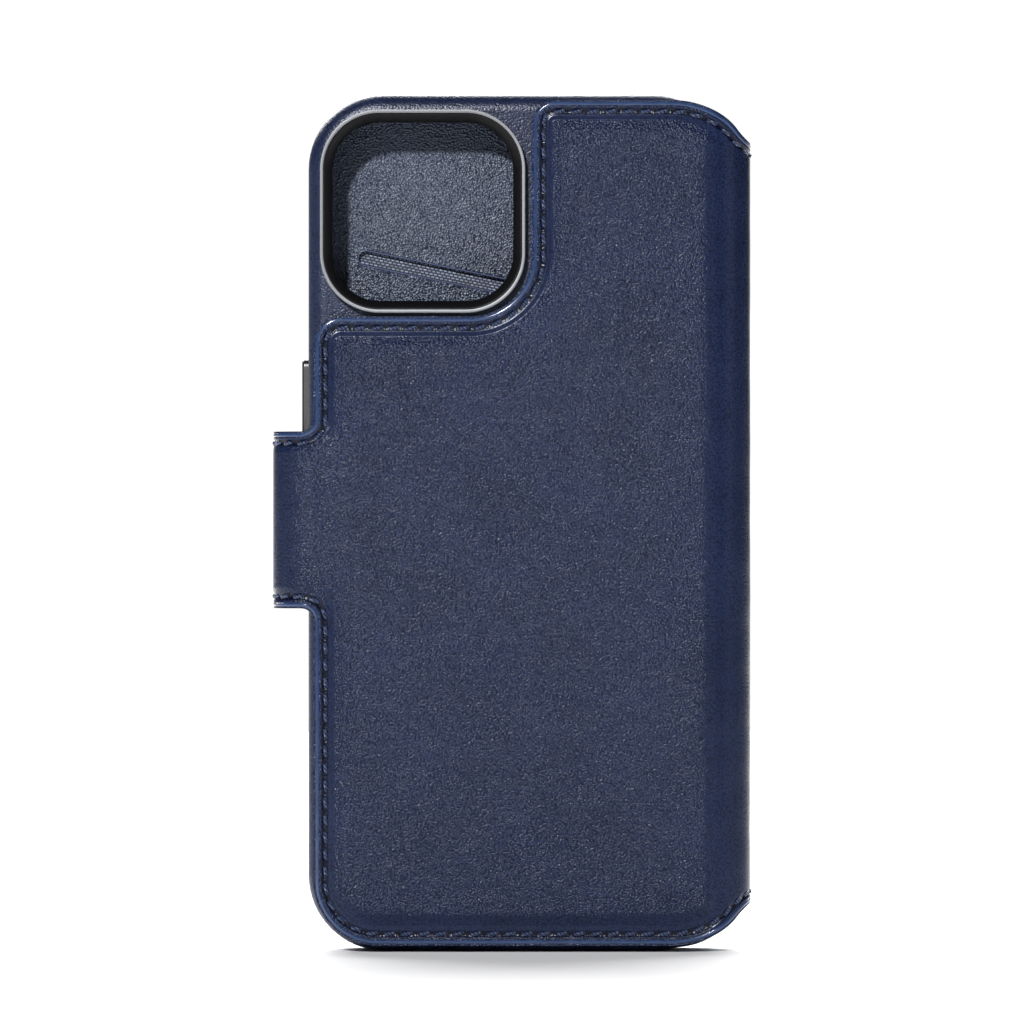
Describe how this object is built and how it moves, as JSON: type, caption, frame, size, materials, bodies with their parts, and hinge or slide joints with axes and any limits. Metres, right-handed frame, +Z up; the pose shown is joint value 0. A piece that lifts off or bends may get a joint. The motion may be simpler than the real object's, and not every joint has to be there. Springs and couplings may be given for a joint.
{
  "type": "phone wallet case",
  "caption": "Folio wallet case with a padded back, folding spine, card-pocket front cover, magnetic closing strap and a lift-out inner phone shell.",
  "frame": {"origin": "centre of the closed case's footprint, on the surface it stands on", "axes": "+Z up, -Y the padded back with the camera window, +Y the front cover, +X the spine, -X the strap"},
  "size_m": [0.0848, 0.0198, 0.1523],
  "materials": {
    "navy_leather": "pebbled grain, satin",
    "navy_lining": "suede-like microfibre",
    "padding": "foam under the leather",
    "board": "fibre board",
    "magnet": "nickel-plated magnet",
    "steel": "thin steel sheet",
    "pocket_cloth": "woven lining cloth",
    "shell_plastic": "moulded plastic",
    "ring_metal": "polished chamfer",
    "bezel": "satin black",
    "button_metal": "dark anodised"
  },
  "bodies": {
    "folio_back": {"back_leather": "navy_leather", "back_foam": "padding", "back_board": "board", "back_magnets": "magnet", "back_lining": "navy_lining"},
    "spine": {"spine_leather": "navy_leather", "spine_board": "board", "spine_lining": "navy_lining"},
    "front_cover": {"front_leather": "navy_leather", "front_board": "board", "front_lining": "navy_lining", "keeper_plate": "steel", "card_panel": "navy_leather", "card_pocket_upper": "pocket_cloth", "card_pocket_middle": "pocket_cloth", "card_pocket_lower": "pocket_cloth"},
    "strap_side": {"strap_side_leather": "navy_leather", "strap_side_board": "board", "strap_side_lining": "navy_lining"},
    "strap_tongue": {"strap_tongue_leather": "navy_leather", "strap_tongue_board": "board", "strap_tongue_lining": "navy_lining", "strap_magnets": "magnet"},
    "phone_shell": {"shell_leather": "navy_leather", "shell_frame": "shell_plastic", "shell_magnets": "magnet", "shell_lining": "navy_lining", "camera_ring": "ring_metal", "camera_bezel": "bezel"},
    "power_button": {"power_button": "button_metal"},
    "volume_up_button": {"volume_up_button": "button_metal"},
    "volume_down_button": {"volume_down_button": "button_metal"}
  },
  "joints": [
    {"name": "spine_fold", "type": "hinge", "parent": "folio_back", "child": "spine", "pos_m": [0.04099, -0.00779, 0.075], "axis": [0, 0, -1], "range_deg": [0, 90]},
    {"name": "cover_fold", "type": "hinge", "parent": "spine", "child": "front_cover", "pos_m": [0.04099, 0.00609, 0.075], "axis": [0, 0, -1], "range_deg": [0, 90], "deforming": ["strap_tongue_leather", "strap_tongue_board", "strap_tongue_lining", "strap_magnets"]},
    {"name": "strap_root_fold", "type": "hinge", "parent": "folio_back", "child": "strap_side", "pos_m": [-0.04099, -0.00779, 0.0756], "axis": [0, 0, 1], "range_deg": [0, 90]},
    {"name": "strap_tongue_fold", "type": "hinge", "parent": "strap_side", "child": "strap_tongue", "pos_m": [-0.04099, 0.00839, 0.0756], "axis": [0, 0, 1], "range_deg": [0, 90]},
    {"name": "shell_release", "type": "slide", "parent": "folio_back", "child": "phone_shell", "axis": [0, 0, 1], "range_m": [0, 0.156]},
    {"name": "power_press", "type": "slide", "parent": "phone_shell", "child": "power_button", "axis": [1, 0, 0], "range_m": [0, 0.0004], "stiffness_N_per_m": 1500},
    {"name": "volume_up_press", "type": "slide", "parent": "phone_shell", "child": "volume_up_button", "axis": [-1, 0, 0], "range_m": [0, 0.0004], "stiffness_N_per_m": 1500},
    {"name": "volume_down_press", "type": "slide", "parent": "phone_shell", "child": "volume_down_button", "axis": [-1, 0, 0], "range_m": [0, 0.0004], "stiffness_N_per_m": 1500}
  ],
  "couplings": [
    {"joint": "cover_fold", "follows": "spine_fold", "ratio": 1},
    {"joint": "strap_tongue_fold", "follows": "strap_root_fold", "ratio": 1}
  ]
}
